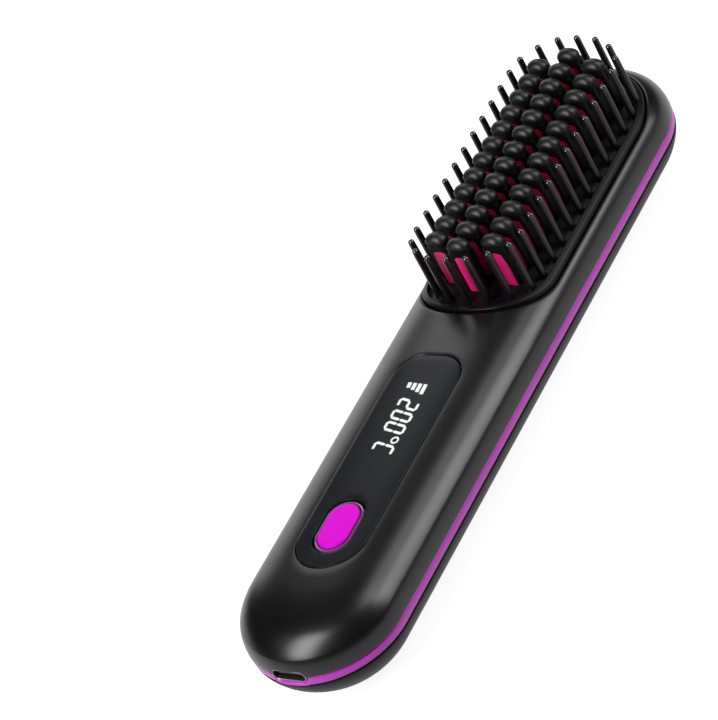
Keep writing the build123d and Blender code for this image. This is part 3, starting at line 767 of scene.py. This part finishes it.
def button_ring():
    """Ring at the foot of the key: a band with rounded upper edges. Its dark colour is painted shade of
    the deep gap round the key.
    """
    n = 120
    u = np.linspace(0, 1, n, endpoint=False)
    out, inn, lo, hi, e = 0.8, 0.25, PANEL_FLOOR, 11.2, 0.25
    prof = [(out, lo), (out, hi - e), (out - 0.3 * e, hi - 0.3 * e), (out - e, hi), (inn + e, hi),
            (inn + 0.3 * e, hi - 0.3 * e), (inn, hi - e), (inn, lo), (out, lo)]
    return [np.array([with_z(walk(stadium(KEY_L / 2 + g, KEY_W / 2 + g, KEY_Y), u), np.full(n, z))
                      for g, z in prof])]


def usb_socket():
    """Drawn metal mouth of the port: a stadium tube closed at the back, its lip rounded."""
    n = 80
    u = np.linspace(0, 1, n, endpoint=False)

    def row(inset, y):
        line = walk(stadium(PORT_W / 2 - inset, PORT_H / 2 - inset), u)
        return np.stack([line[:, 1], np.full(n, y), PORT_Z + line[:, 0]], -1)

    def centre(y):
        return np.broadcast_to((0.0, y, PORT_Z), (n, 3))

    y0, t = PORT_Y, 0.3
    y1, bottom = PORT_Y + 7.3, 0.9
    return [np.array([centre(y1), row(0, y1), row(0, y0 + 0.1), row(0.03, y0 + 0.03), row(0.12, y0),
                      row(t - 0.08, y0), row(t, y0 + 0.08), row(t, y1 - bottom), centre(y1 - bottom)])]


# ---- the pieces that show ----
tips = posts(tooth_places(), cap) + [leg for x, y in tooth_places() for leg in cap_legs(x, y)]
piece("front_casing", front_shell(), SHELL, "housing", ["front_shell"])
piece("back_casing", back_shell(), BACK, "housing", ["back_shell"])
piece("seam_stripe", trim_ring(), TRIM, "housing", ["trim_ring"])
piece("brush_plate", comb_plate(), PLATE, "housing", ["comb_plate"])
piece("edge_pins", posts(pin_places(), pin), PIN, "housing", ["comb_pins"], sharp=60)
piece("blades", posts(tooth_places(), blade), BLADE, "housing", ["heat_blades"], sharp=60)
piece("cool_tips", tips, CAP, "housing", ["tooth_caps"], sharp=60)
piece("panel_cover", panel_lens(), LENS, "housing", ["panel_lens"])
piece("figures", display_digits(), DIGIT, "housing", ["display_digits"])
piece("key_cap", button(), KEY, "key", ["button"])
# the key ring, coloured dark as painted shade of the gap round the key
piece("key_ring_painted_shade", button_ring(), RING, "housing", ["button_ring"])
piece("port_mouth", usb_socket(), PORT, "housing", ["usb_socket"])

# ---- finishes of the inner parts, which keep their solids ----
INNER = {
    "plate_gasket": moulded("seal_silicone", (0.02, 0.02, 0.022), 0.65),
    "heater_plate": brushed("heater_aluminium", (0.75, 0.76, 0.77), 0.35),
    "ptc_heaters": moulded("heater_ceramic", (0.78, 0.77, 0.72), 0.6, grain=900.0, bump=0.1),
    "mica_sheet": moulded("mica_tan", (0.42, 0.30, 0.17), 0.35, grain=400.0, bump=0.1),
    "heater_clamp": brushed("clamp_spring_steel", (0.52, 0.52, 0.53), 0.32),
    "heater_tabs": brushed("tab_brass", (0.78, 0.57, 0.22), 0.3),
    "thermistor": moulded("sensor_glass", (0.35, 0.13, 0.06), 0.1, bump=0.0),
    "thermal_fuse": brushed("fuse_tinned", (0.66, 0.66, 0.64), 0.35, along=(30, 1, 30)),
    "heat_tray": moulded("tray_grey", (0.09, 0.09, 0.095), 0.55, grain=1200.0, bump=0.08),
    "tray_screws": brushed("screw_steel_a", (0.55, 0.55, 0.56), 0.3),
    "chassis": moulded("chassis_grey", (0.05, 0.052, 0.055), 0.5, grain=1400.0, bump=0.06),
    "chassis_screws": brushed("screw_steel_b", (0.55, 0.55, 0.56), 0.3),
    "battery_cells": moulded("cell_sleeve_blue", (0.02, 0.10, 0.32), 0.35, grain=500.0, bump=0.05),
    "cell_tape": moulded("tape_foam", (0.09, 0.09, 0.09), 0.8, grain=1500.0, bump=0.2),
    "cell_pad": moulded("pad_foam", (0.06, 0.06, 0.06), 0.85, grain=1500.0, bump=0.3),
    "cell_tabs": brushed("tab_nickel", (0.64, 0.62, 0.58), 0.3),
    "main_board": moulded("board_green", (0.012, 0.12, 0.045), 0.4, grain=700.0, bump=0.05),
    "board_chips": moulded("chip_black", (0.02, 0.02, 0.022), 0.5),
    "board_screws": brushed("screw_steel_c", (0.55, 0.55, 0.56), 0.3),
    "display_module": moulded("light_box_white", (0.8, 0.8, 0.78), 0.5),
    "switch_body": moulded("switch_black", (0.02, 0.02, 0.02), 0.45),
    "switch_plunger": moulded("plunger_white", (0.8, 0.79, 0.75), 0.4),
    "lead_plug": moulded("plug_white", (0.76, 0.74, 0.68), 0.45),
    "charge_board": moulded("board_green_b", (0.012, 0.12, 0.045), 0.4, grain=700.0, bump=0.05),
    "charge_chips": moulded("chip_black_b", (0.02, 0.02, 0.022), 0.5),
    "usb_tongue": moulded("tongue_black", (0.012, 0.012, 0.013), 0.4),
    "heater_leads": moulded("lead_black_a", (0.015, 0.015, 0.016), 0.5),
    "cell_leads": moulded("lead_black_b", (0.015, 0.015, 0.016), 0.5),
}
for node_name, material in INNER.items():
    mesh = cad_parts[node_name].data
    if not mesh.materials:
        mesh.materials.append(material)
    for k in range(len(mesh.materials)):
        mesh.materials[k] = material

# ---- table, light and camera ----
def table():
    """Plain pale table. Camera, glossy and transmitted rays see a little of its own white added, so
    that the ground reads white and still keeps the shadow; from below it lets the view through."""
    half, paint_grey, glow_level = 4.0, 0.3, 0.85
    mesh = bpy.data.meshes.new("table")
    mesh.from_pydata([(x * half, y * half, 0) for x, y in ((-1, -1), (1, -1), (1, 1), (-1, 1))],
                     [], [(0, 1, 2, 3)])
    obj = bpy.data.objects.new("table", mesh)
    bpy.context.scene.collection.objects.link(obj)
    m = bpy.data.materials.new("table_white")
    m.use_nodes = True
    tree = m.node_tree
    tree.nodes.clear()
    out = node(tree, "ShaderNodeOutputMaterial")
    paint = node(tree, "ShaderNodeBsdfDiffuse", {"Color": (paint_grey, paint_grey, paint_grey, 1)})
    rays = node(tree, "ShaderNodeLightPath")
    seen = node(tree, "ShaderNodeMath", {
        0: rays.outputs["Is Camera Ray"], 1: rays.outputs["Is Glossy Ray"]}, operation="MAXIMUM")
    seen = node(tree, "ShaderNodeMath", {
        0: seen.outputs[0], 1: rays.outputs["Is Transmission Ray"]}, operation="MAXIMUM")
    glow = node(tree, "ShaderNodeMath", {0: seen.outputs[0], 1: glow_level}, operation="MULTIPLY")
    light = node(tree, "ShaderNodeEmission", {"Color": (1, 1, 1, 1), "Strength": glow.outputs[0]})
    both = node(tree, "ShaderNodeAddShader", {0: paint.outputs[0], 1: light.outputs[0]})
    side = node(tree, "ShaderNodeNewGeometry")
    clear = node(tree, "ShaderNodeBsdfTransparent")
    pick = node(tree, "ShaderNodeMixShader", {
        0: side.outputs["Backfacing"], 1: both.outputs[0], 2: clear.outputs[0]})
    tree.links.new(pick.outputs[0], out.inputs["Surface"])
    mesh.materials.append(m)


def lamp(name, azimuth, elevation, wide, tall, radiance, distance=1.1):
    """Soft box seen from the brush at azimuth (0 is -Y, 90 is +X) and elevation, wide by tall
    degrees across, of the given radiance."""
    a, e = math.radians(azimuth), math.radians(elevation)
    toward = np.array([math.sin(a) * math.cos(e), -math.cos(a) * math.cos(e), math.sin(e)])
    side = np.array([math.cos(a), math.sin(a), 0.0])
    up = np.cross(toward, side)
    data = bpy.data.lights.new(name, "AREA")
    data.shape = "RECTANGLE"
    data.size = 2 * distance * math.tan(math.radians(wide / 2))
    data.size_y = 2 * distance * math.tan(math.radians(tall / 2))
    data.energy = radiance * math.pi * data.size * data.size_y
    obj = bpy.data.objects.new(name, data)
    pose = np.eye(4)
    pose[:3, 0], pose[:3, 1], pose[:3, 2], pose[:3, 3] = side, up, toward, toward * distance
    obj.matrix_world = Matrix(pose.tolist())
    bpy.context.scene.collection.objects.link(obj)


def studio():
    """The table, soft boxes round it and a faint even room."""
    table()
    lamp("end_box", -15, 46, 23, 42, 14.0)
    lamp("side_box", 127, 35, 20, 34, 10.0)
    lamp("side_top", 142, 62, 24, 18, 5.6)
    lamp("back_box", -147, 34, 26, 22, 3.4)
    lamp("left_low", -125, 10, 24, 20, 2.0)
    world = bpy.data.worlds.new("room")
    world.use_nodes = True
    world.node_tree.nodes["Background"].inputs["Color"].default_value = (1, 1, 1, 1)
    world.node_tree.nodes["Background"].inputs["Strength"].default_value = 0.02
    bpy.context.scene.world = world


def camera():
    """A long lens above the port end's right side, its focal length given in pixels."""
    picture_width, focal_pixels = 720, 3793.08
    data = bpy.data.cameras.new("camera")
    data.sensor_fit = "AUTO"
    data.sensor_width = 36.0
    data.lens = focal_pixels / picture_width * 36.0
    data.clip_start, data.clip_end = 0.05, 20
    data.shift_x, data.shift_y = 0.0, 0.0
    obj = bpy.data.objects.new("camera", data)
    pose = np.eye(4)
    pose[:3, 0] = 0.8102117, 0.4255277, -0.403092
    pose[:3, 1] = -0.0391727, 0.7254823, 0.6871251
    pose[:3, 2] = 0.5848269, -0.5409266, 0.6044633
    pose[:3, 3] = 0.479958, -0.472092, 0.527950 + SEAM_HEIGHT * 0.001
    obj.matrix_world = Matrix(pose.tolist())
    bpy.context.scene.collection.objects.link(obj)
    bpy.context.scene.camera = obj


studio()
camera()
bpy.context.scene.view_settings.view_transform = "Standard"
